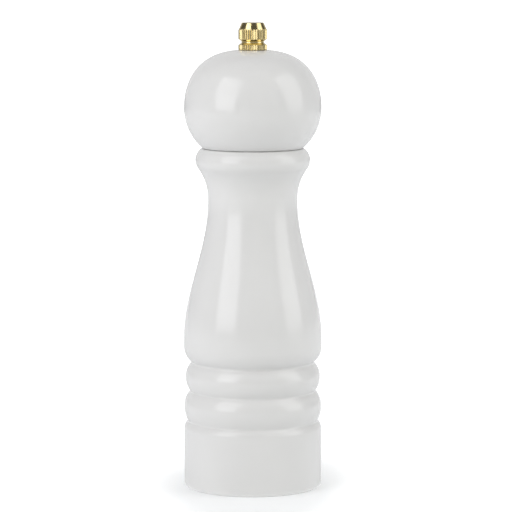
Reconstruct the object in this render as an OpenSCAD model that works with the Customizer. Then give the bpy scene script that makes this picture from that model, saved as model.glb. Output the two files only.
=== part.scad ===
// Pepper mill with a turned wooden body and a round head that turns on it.
//
// A square shaft runs from the head down to a ceramic grinder in the base. Turning the head
// turns the shaft and the rotor burr. The knurled knob on top is a nut on the shaft's threaded
// end: screwed down, it draws the shaft and the rotor up against a spring, so that the gap
// between the two burrs closes and the mill grinds finer.
//
// Millimetres, +Z up. The origin is on the axis, at the face that the mill stands on. The
// grinder is drawn at its coarsest setting, and the knob may draw the shaft up by travel.

/* [Body outline] */
// Widest radius of the mill, at its belly
mill_r = 29.95; // [29:0.05:31]
// How far the straight foot lies inside the mill's radius
foot_inset = 0.1; // [0:0.05:0.5]
// Radius of the foot's lower edge
foot_round = 2; // [0.5:0.1:3]
// Height at which the foot starts to round over
foot_top_z = 25.5; // [22:0.1:27]
// Depth of the lowest groove, from the mill's radius
low_groove_depth = 1.55; // [1.2:0.05:2.5]
// Height of the lowest groove
low_groove_z = 29.2; // [28.6:0.1:30]
// How far the lower ring lies inside the mill's radius
low_ring_inset = 0.15; // [0:0.05:0.6]
// Height at which the lower ring is widest
low_ring_z = 35.7; // [34:0.1:37]
// Depth of the middle groove, from the mill's radius
mid_groove_depth = 2.5; // [1.8:0.05:3.5]
// Height of the middle groove
mid_groove_z = 42.2; // [41:0.1:43]
// How far the upper ring lies inside the mill's radius
high_ring_inset = 0.75; // [0.1:0.05:1.2]
// Height at which the upper ring is widest
high_ring_z = 48.4; // [47:0.1:50]
// Depth of the upper groove, from the mill's radius
high_groove_depth = 3.1; // [2.2:0.05:4]
// Height of the upper groove
high_groove_z = 54.6; // [53:0.1:56]
// Radius of the round at the bottom of each groove
groove_round = 1; // [0.4:0.1:1.5]
// Height at which the belly reaches its full radius
belly_low_z = 61.7; // [60:0.1:63]
// Height at which the belly starts to narrow
belly_high_z = 64.6; // [64:0.1:68]
// Radius of the neck
neck_r = 19.5; // [18.5:0.05:21]
// Height at which the belly's curve reaches the neck
neck_low_z = 125; // [118:0.5:126]
// Height at which the neck starts to flare into the collar
neck_high_z = 126.5; // [126:0.1:129]
// Height at which the collar is widest
collar_z = 142.7; // [142:0.1:143.5]
// Radius of the collar's rounded edge
collar_round = 6.45; // [6:0.05:7]
// Radius of the seam between the body and the head
seam_r = 22.7; // [22:0.05:23]
// How far the collar stands out past the seam
collar_overhang = 2.15; // [1.5:0.05:3]
// Depth of the V-shaped groove at the seam
seam_depth = 0.9; // [0.4:0.1:1.4]

/* [Head outline] */
// How far the head's widest radius lies inside the mill's
head_inset = 0.25; // [0:0.05:0.6]
// Height at which the head is widest
head_wide_z = 165.25; // [164:0.05:167]
// Height of the head's dome over its widest radius
dome_h = 25.2; // [24:0.1:27]
// How flat the dome is round its top, where 2 is as flat as a ball
dome_flatness = 2.8; // [2.2:0.05:3.2]
// How full the dome is above its widest radius, where 2 is as full as a ball
dome_fullness = 2.15; // [2:0.05:2.4]
// How much of the dome's top is turned off flat, to seat the knob
seat_cut = 0.25; // [0.1:0.05:0.5]
// Length of the tenon that centres the head in the body
tenon_h = 9.8; // [8:0.2:14]

/* [Body bores] */
// Radius of the chamber that holds the peppercorns
chamber_r = 13.5; // [13:0.1:14]
// Radius of the bore that holds the grinder
grinder_bore_r = 22.5; // [22:0.1:23]
// Height of the step that the grinder's housing is screwed up against
grinder_step_z = 40; // [39:0.5:42]

/* [Adjusting knob] */
// Radius of the knurled bands
knob_r = 6.2; // [6:0.05:7]
// Radius of the flat top
knob_top_r = 4.7; // [4.3:0.05:5.5]
// Radius of the waist between the bands
knob_waist_r = 4.85; // [4.6:0.05:5.4]
// Height of the knob
knob_h = 11.8; // [11.5:0.1:13]
// Number of teeth round each knurled band
knurl_teeth = 36; // [24:1:48]
// Depth of the knurl
knurl_depth = 0.3; // [0.15:0.05:0.4]

/* [Shaft] */
// Width across the flats of the square shaft
shaft_w = 6; // [5.5:0.1:6.5]
// Outer radius of the upper thread, for the knob
knob_thread_r = 3; // [2.8:0.05:3]
// Pitch of the upper thread
knob_pitch = 1; // [0.8:0.05:1.25]
// Outer radius of the lower thread, for the lock nut
nut_thread_r = 2.5; // [2:0.05:2.8]
// How far the knob can draw the shaft up from its coarsest setting
travel = 2; // [1:0.1:2]

/* [Grinder] */
// Height of the lower face of the grinder's housing
housing_low_z = 9; // [8:0.5:10]
// Outer radius of the stator ring
stator_r = 15.8; // [15.6:0.1:16]
// Height of the stator ring's lower face
stator_low_z = 12.5; // [12:0.1:13]
// Height of the stator ring
stator_h = 15; // [14:0.5:16]
// Radius of the rotor's tooth crests at its lower face
rotor_r = 12; // [11.6:0.1:12.2]
// Radius of the rotor's tooth crests at its upper face
rotor_top_r = 7; // [6.8:0.1:7.6]
// Height of the rotor
rotor_h = 14; // [13:0.5:14]
// Gap between the crests of the two burrs at the finest setting
finest_gap = 0.35; // [0.3:0.05:0.6]
// Number of teeth on the rotor
rotor_teeth = 12; // [10:1:16]
// Number of teeth in the stator
stator_teeth = 16; // [12:1:24]

/* [Spring] */
// Radius of the spring's wire
wire_r = 0.45; // [0.3:0.05:0.5]
// Radius of the coil, at the middle of the wire
coil_r = 5.2; // [5:0.1:5.6]
// Number of turns
coil_turns = 5; // [3:1:6]

/* [Hidden] */
$fn = 96;
// Clearance between pieces that move past each other
gap = 0.3;
// Clearance of a sliding or running fit, per side
fit = 0.08;
// Clearance of a square hole round the square shaft, per side
square_fit = 0.12;
// Clearance of a hole that a screw passes through, per side
screw_fit = 0.1;
// How far a cut reaches past the face that it opens
through = 1;

paint = [0.87, 0.87, 0.86];
brass = [0.76, 0.62, 0.36];
steel = [0.68, 0.69, 0.71];
ceramic = [0.93, 0.92, 0.88];
black_nylon = [0.1, 0.1, 0.11];
white_nylon = [0.85, 0.84, 0.8];

// The body and the head
foot_r = mill_r - foot_inset;
low_ring_r = mill_r - low_ring_inset;
high_ring_r = mill_r - high_ring_inset;
low_groove_r = mill_r - low_groove_depth;
mid_groove_r = mill_r - mid_groove_depth;
high_groove_r = mill_r - high_groove_depth;
head_r = mill_r - head_inset;
collar_r = seam_r + collar_overhang;
seam_low_z = collar_z + sqrt(collar_round ^ 2 - (seam_r - collar_r + collar_round) ^ 2);
body_bevel_h = 0.3;
head_bevel_h = 0.7;
body_top_z = seam_low_z + body_bevel_h;
head_low_z = body_top_z + gap;
head_top_z = head_wide_z + dome_h - seat_cut;
tenon_r = chamber_r - gap;
tenon_low_z = head_low_z - tenon_h;
tenon_edge = 0.6;
swell_steps = 8;
root_steps = 3;

// The knob: the levels of its bands and its waist are shares of its height
knob_low_z = head_top_z + fit;
low_band_h = 0.18 * knob_h;
waist_low_h = 0.27 * knob_h;
waist_high_h = 0.31 * knob_h;
high_band_low_h = 0.4 * knob_h;
high_band_h = 0.75 * knob_h;
cone_low_r = knob_r - 0.15;
knob_edge = 0.3;
knob_top_edge = 0.15;
knob_wall = 2;

// The ferrule in the head's top
ferrule_r = 5.8;
ferrule_flange = 0.6;
ferrule_h = 4.2;

// The shaft
corner_r = shaft_w / sqrt(2);
shaft_corner_cut = 0.15;
thread_edge = 0.3;
shaft_top_z = knob_low_z + knob_h - knob_wall - travel - gap;
square_top_z = head_top_z - ferrule_h - travel - 2 * gap;
head_hole_r = corner_r + gap;

// The drive plate under the tenon, and its screws
plate_r = 11.6;
plate_h = 1.5;
plate_low_z = tenon_low_z - plate_h;
plate_screw_x = 8;
plate_screw_r = 1.4;
plate_screw_l = 9;
screw_head_r = 2.4;
screw_head_h = 1.5;
pilot_gap = 0.3;

// The rotor and what holds it on the shaft
hub_low_z = stator_low_z - 0.5;
hub_flange_r = 8.6;
hub_flange_h = 1.2;
hub_r = 5.9;
hub_fit = 0.02;
rotor_low_z = hub_low_z + hub_flange_h;
rotor_top_z = rotor_low_z + rotor_h;
washer_r = 6;
washer_h = 0.8;
washer_low_z = hub_low_z - washer_h;
nut_w = 8;
nut_h = 4;
nut_low_z = washer_low_z - nut_h;
shaft_low_z = nut_low_z - 1;

// The stator: its crests lie along the rotor's cone, then open upwards
rotor_slope = (rotor_r - rotor_top_r) / rotor_h;
coarse_gap = finest_gap + rotor_slope * travel;
fine_h = 5.5;
stator_high_z = stator_low_z + stator_h;
stator_low_r = rotor_r + coarse_gap + rotor_slope * (rotor_low_z - stator_low_z);
stator_waist_r = stator_low_r - rotor_slope * fine_h;
stator_mouth_r = stator_waist_r + 1;
tooth_depth = 1.1;
coarse_depth = 1.6;
tooth_runout = 1.5;
rotor_edge = 0.3;

// The housing, the bridge, and the screws that hold both up in the body
housing_r = grinder_bore_r - 0.2;
pocket_r = stator_r + 0.1;
bridge_w = 8;
bridge_eye_r = 7.2;
bridge_h = 1.5;
bridge_low_z = grinder_step_z - bridge_h;
bridge_inset = 0.5;
bridge_l = 2 * (housing_r - bridge_inset);
housing_screw_x = 19.3;
housing_screw_r = 1.5;
housing_screw_l = 40;
pilot_top_z = housing_low_z + housing_screw_l + pilot_gap;
housing_edge = 0.8;
pocket_taper = 0.6;
retainer_h = 1.4;
retainer_low_z = stator_low_z - retainer_h;
retainer_r = pocket_r + 0.7;
retainer_hole_r = stator_low_r + 0.4;

// The bush that turns in the bridge, and the spring under it
bush_wall = 0.9;
bush_r = corner_r + 2 * square_fit + bush_wall;
bush_flange_r = 7;
bush_flange_h = 1.4;
bush_top_z = grinder_step_z + 2.2;
bush_low_z = bridge_low_z - gap - bush_flange_h;
bush_lip = 0.5;
bush_lip_low_z = grinder_step_z + gap;
spring_washer_r = 6.4;
spring_washer_h = 0.5;
spring_washer_low_z = bush_low_z - spring_washer_h;
spring_low_z = rotor_top_z + 0.4;
spring_h = spring_washer_low_z - spring_low_z;

// ---- Outlines -----------------------------------------------------------------------------

// Points along an arc about centre, from one angle to another.
function arc(centre, r, from, to, steps) =
  [for (i = [0 : steps])
    let (a = from + (to - from) * i / steps)
    [centre[0] + r * cos(a), centre[1] + r * sin(a)]];

// Each ring is an arc that is upright at its crest. It meets the round at the bottom of the
// groove beside it at a tangent, and this is the distance between the centres of the two.
function swell_span(groove, crest) =
  let (dr = crest[0] - groove[0], dz = crest[1] - groove[1])
  (dr * dr + dz * dz) / (2 * dr);

// Points from the bottom of a groove up to the crest above it, without the crest itself. A
// groove without a round at its bottom has a root_r of 0.
function swell_up(groove, crest, root_r, steps) =
  let (
    span = swell_span(groove, crest),
    a = asin((groove[1] - crest[1]) / span),
    r = span - root_r
  )
  concat(
    root_r > 0
      ? arc([groove[0] + root_r, groove[1]], root_r, 180, 180 + a, root_steps)
      : [groove],
    arc([crest[0] - r, crest[1]], r, a * (steps - 1) / steps, a / steps, steps - 2)
  );

// Points from a crest up to the groove above it, without the bottom of the groove.
function swell_down(crest, groove, root_r, steps) =
  let (
    span = swell_span(groove, crest),
    a = asin((groove[1] - crest[1]) / span),
    r = span - root_r
  )
  concat(
    arc([crest[0] - r, crest[1]], r, 0, a * (steps - 1) / steps, steps - 1),
    arc([groove[0] + root_r, groove[1]], root_r, 180 + a, 180 + a / root_steps, root_steps - 1)
  );

// Points along half a cosine wave from one radius to another.
function wave(r0, z0, r1, z1, steps) =
  [for (i = [0 : steps])
    [r1 + (r0 - r1) * (1 + cos(180 * i / steps)) / 2, z0 + (z1 - z0) * i / steps]];

// A closed square bar, standing on z = 0.
module square_bar(w, h) {
  translate([-w / 2, -w / 2, 0])
    cube([w, w, h]);
}

// A ring with a plain bore, standing on z = 0.
module ring(r, hole, h) {
  rotate_extrude()
    translate([hole, 0])
      square([r - hole, h]);
}

// One screw standing head down on z = 0: a slotted pan head, a shank and a point.
module screw(head_r, head_h, r, length) {
  point_h = 2 * r;
  slot_w = 0.6;
  slot_depth = 0.7;
  difference() {
    rotate_extrude()
      polygon([
        [0, 0], [head_r - 0.4, 0], [head_r, 0.5], [head_r, head_h], [r, head_h],
        [r, length - point_h], [0.2, length], [0, length]
      ]);
    translate([-head_r - 1, -slot_w / 2, -1])
      cube([2 * head_r + 2, slot_w, slot_depth + 1]);
  }
}

// ---- Body and head ------------------------------------------------------------------------

// The outline of the body's outside, from its foot up to the seam.
function body_outline() =
  let (
    low_groove = [low_groove_r, low_groove_z],
    mid_groove = [mid_groove_r, mid_groove_z],
    high_groove = [high_groove_r, high_groove_z],
    low_ring = [low_ring_r, low_ring_z],
    high_ring = [high_ring_r, high_ring_z],
    belly = [mill_r, belly_low_z],
    // the collar's edge and the flare below it are two arcs that meet at one tangent
    edge = [collar_r - collar_round, collar_z],
    rise = collar_z - neck_high_z,
    inset = neck_r - edge[0],
    flare_r = (inset ^ 2 + rise ^ 2 - collar_round ^ 2) / (2 * (collar_round - inset)),
    flare = [neck_r + flare_r, neck_high_z],
    meet = atan2(rise, flare[0] - edge[0]),
    // the edge starts one step past the point that both arcs share
    collar_step = 6
  )
  concat(
    arc([foot_r - foot_round, foot_round], foot_round, -90, 0, 6),
    swell_down([foot_r, foot_top_z], low_groove, groove_round, swell_steps),
    swell_up(low_groove, low_ring, groove_round, swell_steps),
    swell_down(low_ring, mid_groove, groove_round, swell_steps),
    swell_up(mid_groove, high_ring, groove_round, swell_steps),
    swell_down(high_ring, high_groove, groove_round, swell_steps),
    swell_up(high_groove, belly, groove_round, swell_steps),
    [belly],
    wave(mill_r, belly_high_z, neck_r, neck_low_z, 26),
    arc(flare, flare_r, 180, 180 - meet, 10),
    arc(edge, collar_round, -meet + collar_step,
      acos((seam_r - edge[0]) / collar_round), 14)
  );

module mill_body() {
  color(paint)
    difference() {
      rotate_extrude()
        polygon(concat(
          [[0, 0]],
          body_outline(),
          [[seam_r - seam_depth, body_top_z], [0, body_top_z]]
        ));
      translate([0, 0, -through])
        cylinder(r = grinder_bore_r, h = grinder_step_z + through);
      cylinder(r = chamber_r, h = body_top_z + through);
      for (side = [-1, 1])
        translate([side * housing_screw_x, 0, grinder_step_z - through])
          cylinder(r = housing_screw_r, h = pilot_top_z - grinder_step_z + through);
    }
}

// Points up a dome that stands on z = 0, from its widest radius to the height of its flat.
// Both exponents are 2 for an ellipse: a higher flatness widens the top, and a higher
// fullness keeps the side upright for longer.
function dome(r, h, flatness, fullness, flat_h, steps) =
  let (end = asin((flat_h / h) ^ (fullness / 2)))
  [for (i = [0 : steps])
    let (a = end * i / steps)
    [r * cos(a) ^ (2 / flatness), h * sin(a) ^ (2 / fullness)]];

// The outline of the head's outside, from the seam up to the flat that seats the knob.
function head_outline() =
  let (
    seam = [seam_r, head_low_z + head_bevel_h],
    crest = [head_r, head_wide_z]
  )
  concat(
    swell_up(seam, crest, 0, 2 * swell_steps),
    [for (p = dome(head_r, dome_h, dome_flatness, dome_fullness, dome_h - seat_cut, 24))
      [p[0], head_wide_z + p[1]]]
  );

module head() {
  pilot_h = plate_screw_l - plate_h + pilot_gap;
  color(paint)
    difference() {
      rotate_extrude()
        polygon(concat(
          [[0, tenon_low_z], [tenon_r - tenon_edge, tenon_low_z],
           [tenon_r, tenon_low_z + tenon_edge], [tenon_r, head_low_z],
           [seam_r - seam_depth, head_low_z]],
          head_outline(),
          [[0, head_top_z]]
        ));
      translate([0, 0, tenon_low_z - through])
        cylinder(r = head_hole_r, h = head_top_z - tenon_low_z + 2 * through);
      translate([0, 0, head_top_z - ferrule_flange])
        cylinder(r = ferrule_r + fit, h = ferrule_flange + through);
      for (side = [-1, 1])
        translate([side * plate_screw_x, 0, tenon_low_z - through])
          cylinder(r = plate_screw_r, h = pilot_h + through);
    }
}

// A brass eyelet pressed into the head's top, which the knob bears on.
module head_ferrule() {
  hole_r = knob_thread_r + gap;
  color(brass)
    translate([0, 0, head_top_z])
      rotate_extrude()
        polygon([
          [hole_r, 0], [hole_r, -ferrule_h], [head_hole_r, -ferrule_h],
          [head_hole_r, -ferrule_flange], [ferrule_r, -ferrule_flange], [ferrule_r, 0]
        ]);
}

// ---- Adjusting knob -----------------------------------------------------------------------

// The knurl seen from above: teeth whose points reach past knob_r, where the knob's own
// outline takes them off, so that each tooth is left with a narrow flat crest.
module knurl_outline() {
  step = 360 / knurl_teeth;
  point_r = knob_r + knurl_depth / 3;
  root_r = knob_r - knurl_depth;
  polygon([for (i = [0 : knurl_teeth - 1], side = [0 : 1])
    let (r = side == 0 ? point_r : root_r, a = (i + side / 2) * step)
    [r * cos(a), r * sin(a)]]);
}

module adjusting_knob() {
  color(brass)
    translate([0, 0, knob_low_z])
      difference() {
        intersection() {
          rotate_extrude()
            polygon([
              [0, 0], [knob_r - knob_edge, 0], [knob_r, knob_edge], [knob_r, low_band_h],
              [knob_waist_r, waist_low_h], [knob_waist_r, waist_high_h],
              [knob_r, high_band_low_h], [knob_r, high_band_h - knob_edge],
              [cone_low_r, high_band_h], [knob_top_r, knob_h - knob_top_edge],
              [knob_top_r - knob_top_edge, knob_h], [0, knob_h]
            ]);
          linear_extrude(knob_h)
            knurl_outline();
        }
        translate([0, 0, -through])
          cylinder(r = knob_thread_r + fit, h = knob_h - knob_wall + through);
      }
}

// ---- Drive --------------------------------------------------------------------------------

module drive_plate() {
  color(steel)
    translate([0, 0, plate_low_z])
      difference() {
        cylinder(r = plate_r, h = plate_h);
        translate([0, 0, -through])
          square_bar(shaft_w + 2 * square_fit, plate_h + 2 * through);
        for (side = [-1, 1])
          translate([side * plate_screw_x, 0, -through])
            cylinder(r = plate_screw_r + screw_fit, h = plate_h + 2 * through);
      }
}

module drive_plate_screws() {
  color(steel)
    for (side = [-1, 1])
      translate([side * plate_screw_x, 0, plate_low_z - screw_head_h])
        rotate([0, 0, 40 * side])
          screw(screw_head_r, screw_head_h, plate_screw_r, plate_screw_l + screw_head_h);
}

// The upper thread is drawn as rings at the thread's pitch, each one a ridge with a narrow
// flat crest.
module shaft() {
  root_r = knob_thread_r - 0.55 * knob_pitch;
  low_z = square_top_z + 2;
  overlap = 1;
  rings = floor((shaft_top_z - low_z - thread_edge) / knob_pitch);
  ridge = [[root_r, 0], [knob_thread_r, 0.4], [knob_thread_r, 0.55], [root_r, 0.95]];
  thread = [for (i = [0 : rings - 1], p = ridge)
    [p[0], low_z + (i + p[1]) * knob_pitch]];
  color(steel)
    union() {
      intersection() {
        translate([0, 0, hub_low_z])
          square_bar(shaft_w, square_top_z - hub_low_z);
        translate([0, 0, hub_low_z])
          cylinder(r = corner_r - shaft_corner_cut, h = square_top_z - hub_low_z);
      }
      rotate_extrude()
        polygon(concat(
          [[0, square_top_z - overlap], [root_r, square_top_z - overlap], [root_r, low_z]],
          thread,
          [[root_r, shaft_top_z - thread_edge], [root_r - thread_edge, shaft_top_z],
           [0, shaft_top_z]]
        ));
      rotate_extrude()
        polygon([
          [0, shaft_low_z], [nut_thread_r - thread_edge, shaft_low_z],
          [nut_thread_r, shaft_low_z + thread_edge], [nut_thread_r, hub_low_z + overlap],
          [0, hub_low_z + overlap]
        ]);
    }
}

// ---- Bridge, bush and spring --------------------------------------------------------------

// A steel strip across the chamber, with an eye at its middle that carries the bush.
module bridge() {
  color(steel)
    translate([0, 0, bridge_low_z])
      difference() {
        union() {
          intersection() {
            translate([-bridge_l / 2, -bridge_w / 2, 0])
              cube([bridge_l, bridge_w, bridge_h]);
            cylinder(r = bridge_l / 2, h = bridge_h);
          }
          cylinder(r = bridge_eye_r, h = bridge_h);
        }
        translate([0, 0, -through])
          cylinder(r = bush_r + fit, h = bridge_h + 2 * through);
        for (side = [-1, 1])
          translate([side * housing_screw_x, 0, -through])
            cylinder(r = housing_screw_r + screw_fit, h = bridge_h + 2 * through);
      }
}

// A nylon bush that turns in the bridge. Its lip snaps in from below.
module shaft_bush() {
  color(white_nylon)
    difference() {
      rotate_extrude()
        polygon([
          [0, bush_low_z], [bush_flange_r, bush_low_z],
          [bush_flange_r, bush_low_z + bush_flange_h], [bush_r, bush_low_z + bush_flange_h],
          [bush_r, bush_lip_low_z], [bush_r + bush_lip, bush_lip_low_z + 0.3],
          [bush_r + bush_lip, bush_lip_low_z + 0.8], [bush_r - 0.2, bush_top_z],
          [0, bush_top_z]
        ]);
      translate([0, 0, bush_low_z - through])
        square_bar(shaft_w + 2 * square_fit, bush_top_z - bush_low_z + 2 * through);
    }
}

module spring_washer() {
  color(steel)
    translate([0, 0, spring_washer_low_z])
      ring(spring_washer_r, corner_r + fit, spring_washer_h);
}

// The cut through a coiled wire at right angles to the coil's axis: a crescent, whose length
// round the coil follows from the pitch. Turned as it rises, it sweeps a round wire with
// ends ground flat.
module spring() {
  pitch = spring_h / coil_turns;
  steps = 5;
  half_angle = 360 * wire_r / pitch;
  // the crescent's points and the slices take the same angle
  slices = round(360 * coil_turns * steps / half_angle);
  outer = [for (i = [-steps : steps])
    let (a = half_angle * i / steps, r = coil_r + wire_r * sqrt(1 - (i / steps) ^ 2))
    [r * cos(a), r * sin(a)]];
  inner = [for (i = [1 - steps : steps - 1])
    let (a = -half_angle * i / steps, r = coil_r - wire_r * sqrt(1 - (i / steps) ^ 2))
    [r * cos(a), r * sin(a)]];
  color(steel)
    translate([0, 0, spring_low_z])
      linear_extrude(height = spring_h, twist = -360 * coil_turns, slices = slices, $fn = 16)
        polygon(concat(outer, inner));
}

// ---- Grinder ------------------------------------------------------------------------------

module grinder_housing() {
  slot_w = bridge_w + 2 * screw_fit;
  color(black_nylon)
    difference() {
      rotate_extrude()
        polygon([
          [chamber_r, stator_high_z], [pocket_r, stator_high_z], [pocket_r, stator_low_z],
          [retainer_r, stator_low_z], [retainer_r, retainer_low_z],
          [pocket_r, retainer_low_z], [pocket_r + pocket_taper, housing_low_z],
          [housing_r - housing_edge, housing_low_z], [housing_r, housing_low_z + housing_edge],
          [housing_r, grinder_step_z], [chamber_r, grinder_step_z]
        ]);
      translate([-housing_r, -slot_w / 2, bridge_low_z])
        cube([2 * housing_r, slot_w, bridge_h + through]);
      for (side = [-1, 1])
        translate([side * housing_screw_x, 0, 0]) {
          cylinder(r = housing_screw_r + screw_fit, h = grinder_step_z);
          cylinder(r = screw_head_r + screw_fit, h = housing_low_z + screw_head_h);
        }
    }
}

module housing_screws() {
  color(steel)
    for (side = [-1, 1])
      translate([side * housing_screw_x, 0, housing_low_z])
        rotate([0, 0, 25 * side])
          screw(screw_head_r, screw_head_h, housing_screw_r, housing_screw_l);
}

// Straight cuts along the burr's crests, all round. Each cut is a tapered groove that follows
// the slope from its lower to its upper radius.
module tooth_cuts(count, low_r, low_z, high_r, high_z, w) {
  slope = atan2(high_r - low_r, high_z - low_z);
  length = (high_z - low_z) / cos(slope);
  overrun = 2;
  for (i = [0 : count - 1])
    rotate([0, 0, 360 * i / count])
      translate([low_r, 0, low_z])
        rotate([0, slope, 0])
          rotate([0, 0, 45])
            translate([-w / 2, -w / 2, -overrun])
              cube([w, w, length + 2 * overrun]);
}

module stator_burr() {
  bend_z = stator_low_z + fine_h;
  color(ceramic)
    difference() {
      rotate_extrude()
        polygon([
          [stator_low_r, stator_low_z], [stator_r, stator_low_z], [stator_r, stator_high_z],
          [stator_mouth_r, stator_high_z], [stator_waist_r, bend_z]
        ]);
      tooth_cuts(2 * stator_teeth, stator_low_r, stator_low_z, stator_waist_r, bend_z,
        tooth_depth);
      tooth_cuts(stator_teeth, stator_waist_r, bend_z + tooth_runout, stator_mouth_r,
        stator_high_z, coarse_depth);
    }
}

module stator_retainer() {
  color(black_nylon)
    translate([0, 0, retainer_low_z])
      ring(retainer_r, retainer_hole_r, retainer_h);
}

module rotor_burr() {
  coarse_low_h = fine_h + tooth_runout;
  color(ceramic)
    difference() {
      rotate_extrude()
        polygon([
          [hub_r, rotor_low_z], [rotor_r - rotor_edge, rotor_low_z],
          [rotor_r, rotor_low_z + rotor_edge], [rotor_top_r, rotor_top_z], [hub_r, rotor_top_z]
        ]);
      tooth_cuts(2 * rotor_teeth, rotor_r, rotor_low_z,
        rotor_r - rotor_slope * fine_h, rotor_low_z + fine_h, tooth_depth);
      tooth_cuts(rotor_teeth, rotor_r - rotor_slope * coarse_low_h,
        rotor_low_z + coarse_low_h, rotor_top_r, rotor_top_z, coarse_depth);
    }
}

// The nylon core that carries the rotor on the square shaft.
module rotor_hub() {
  color(black_nylon)
    difference() {
      rotate_extrude()
        polygon([
          [0, hub_low_z], [hub_flange_r, hub_low_z], [hub_flange_r, rotor_low_z],
          [hub_r, rotor_low_z], [hub_r, spring_low_z], [0, spring_low_z]
        ]);
      translate([0, 0, hub_low_z - through])
        square_bar(shaft_w + 2 * hub_fit, spring_low_z - hub_low_z + 2 * through);
    }
}

module rotor_washer() {
  color(steel)
    translate([0, 0, washer_low_z])
      ring(washer_r, nut_thread_r, washer_h);
}

module rotor_lock_nut() {
  color(steel)
    translate([0, 0, nut_low_z])
      difference() {
        cylinder(r = nut_w / sqrt(3), h = nut_h, $fn = 6);
        translate([0, 0, -through])
          cylinder(r = nut_thread_r, h = nut_h + 2 * through);
      }
}

mill_body();
head();
head_ferrule();
adjusting_knob();
drive_plate();
drive_plate_screws();
shaft();
shaft_bush();
bridge();
spring_washer();
spring();
grinder_housing();
stator_burr();
stator_retainer();
rotor_burr();
rotor_hub();
rotor_washer();
rotor_lock_nut();
housing_screws();
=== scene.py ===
"""A turned pepper mill: white lacquered body and head, knurled brass knob, ceramic grinder.

Sizes are in millimetres and repeat those of the solids that the pieces stand for. Places are in
the mill's own frame: +Z up, origin on the axis at the face that it stands on.
"""
import math

import bmesh
import bpy
from mathutils import Matrix, Vector


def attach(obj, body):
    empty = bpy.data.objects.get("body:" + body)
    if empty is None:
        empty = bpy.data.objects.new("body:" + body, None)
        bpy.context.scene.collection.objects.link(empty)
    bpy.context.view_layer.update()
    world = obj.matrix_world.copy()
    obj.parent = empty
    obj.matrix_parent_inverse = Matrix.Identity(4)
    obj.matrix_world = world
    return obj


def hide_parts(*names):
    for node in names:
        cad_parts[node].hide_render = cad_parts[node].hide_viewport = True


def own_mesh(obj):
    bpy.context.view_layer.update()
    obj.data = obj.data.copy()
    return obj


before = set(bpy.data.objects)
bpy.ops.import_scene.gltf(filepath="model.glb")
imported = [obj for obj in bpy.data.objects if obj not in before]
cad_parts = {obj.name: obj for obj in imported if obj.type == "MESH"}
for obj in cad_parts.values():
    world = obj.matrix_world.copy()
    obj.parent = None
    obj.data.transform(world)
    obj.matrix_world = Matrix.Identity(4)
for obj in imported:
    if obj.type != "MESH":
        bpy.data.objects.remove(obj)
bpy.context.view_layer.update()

MM = 0.001
TAU = 2 * math.pi

# ---- Sizes of the mill, in mm ---------------------------------------------------------------

# clearances: round what turns or lifts, in threads and plain bores, on the shaft's square, round
# screws, in the hub and round the stator
GAP, FIT, SQUARE_FIT, SCREW_FIT, HUB_FIT, POCKET_FIT = 0.3, 0.08, 0.12, 0.1, 0.02, 0.1

MILL_R = 29.93
FOOT_R, FOOT_TOP_Z, FOOT_ROUND = 29.85, 25.5, 2.0
# grooves and rings, as (radius, height) of the deepest point or the crest
LOW_GROOVE, LOW_RING = (28.4, 29.2), (29.8, 35.7)
MID_GROOVE, HIGH_RING = (27.45, 42.2), (29.2, 48.4)
HIGH_GROOVE, BELLY = (26.85, 54.6), (MILL_R, 61.7)
GROOVE_ROUND = 1.0
BELLY_HIGH_Z = 64.6
NECK_R, NECK_LOW_Z, NECK_HIGH_Z = 19.5, 125.0, 126.5
COLLAR_R, COLLAR_Z, COLLAR_ROUND = 24.85, 142.7, 6.45
SEAM_R, SEAM_DEPTH = 22.7, 0.9
BODY_BEVEL_H, HEAD_BEVEL_H = 0.3, 0.7
HEAD_R, HEAD_WIDE_Z = 29.7, 165.25
DOME_H, DOME_FLATNESS, DOME_FULLNESS, SEAT_CUT = 25.2, 2.8, 2.15, 0.25
HEAD_TOP_Z = HEAD_WIDE_Z + DOME_H - SEAT_CUT
TENON_H = 9.8
CHAMBER_R, GRINDER_R, STEP_Z = 13.5, 22.5, 40.0
# the lacquer stops at this radius where the head and the body meet
BARE_R = CHAMBER_R + 4

SEAM_LOW_Z = COLLAR_Z + math.sqrt(COLLAR_ROUND ** 2 - (SEAM_R - COLLAR_R + COLLAR_ROUND) ** 2)
BODY_TOP_Z = SEAM_LOW_Z + BODY_BEVEL_H
HEAD_LOW_Z = BODY_TOP_Z + GAP
TENON_R, TENON_LOW_Z = CHAMBER_R - GAP, HEAD_LOW_Z - TENON_H

KNOB_R, KNOB_TOP_R, KNOB_WAIST_R = 6.2, 4.7, 4.85
KNOB_H, KNOB_WALL = 11.8, 2.0
KNOB_EDGE, KNOB_TOP_EDGE = 0.3, 0.15
KNOB_LOW_Z = HEAD_TOP_Z + FIT
KNURL_TEETH, KNURL_DEPTH = 36, 0.3

SHAFT_W, SHAFT_CORNER_CUT, TRAVEL = 6.0, 0.15, 2.0
CORNER_R = SHAFT_W / math.sqrt(2)
KNOB_THREAD_R, KNOB_THREAD_DEPTH, KNOB_PITCH = 3.0, 0.55, 1.0
NUT_THREAD_R, NUT_THREAD_DEPTH, NUT_PITCH = 2.5, 0.4, 0.8
SHAFT_TOP_Z = KNOB_LOW_Z + KNOB_H - KNOB_WALL - TRAVEL - GAP
FERRULE_R, FERRULE_FLANGE, FERRULE_H = 5.8, 0.6, 4.2
SQUARE_TOP_Z = HEAD_TOP_Z - FERRULE_H - TRAVEL - 2 * GAP
HEAD_HOLE_R = CORNER_R + GAP
PLATE_R, PLATE_H = 11.6, 1.5
PLATE_LOW_Z = TENON_LOW_Z - PLATE_H
PLATE_SCREW_X, PLATE_SCREW_R, PLATE_SCREW_L = 8.0, 1.4, 9.0
SCREW_HEAD_R, SCREW_HEAD_H = 2.4, 1.5

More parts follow.
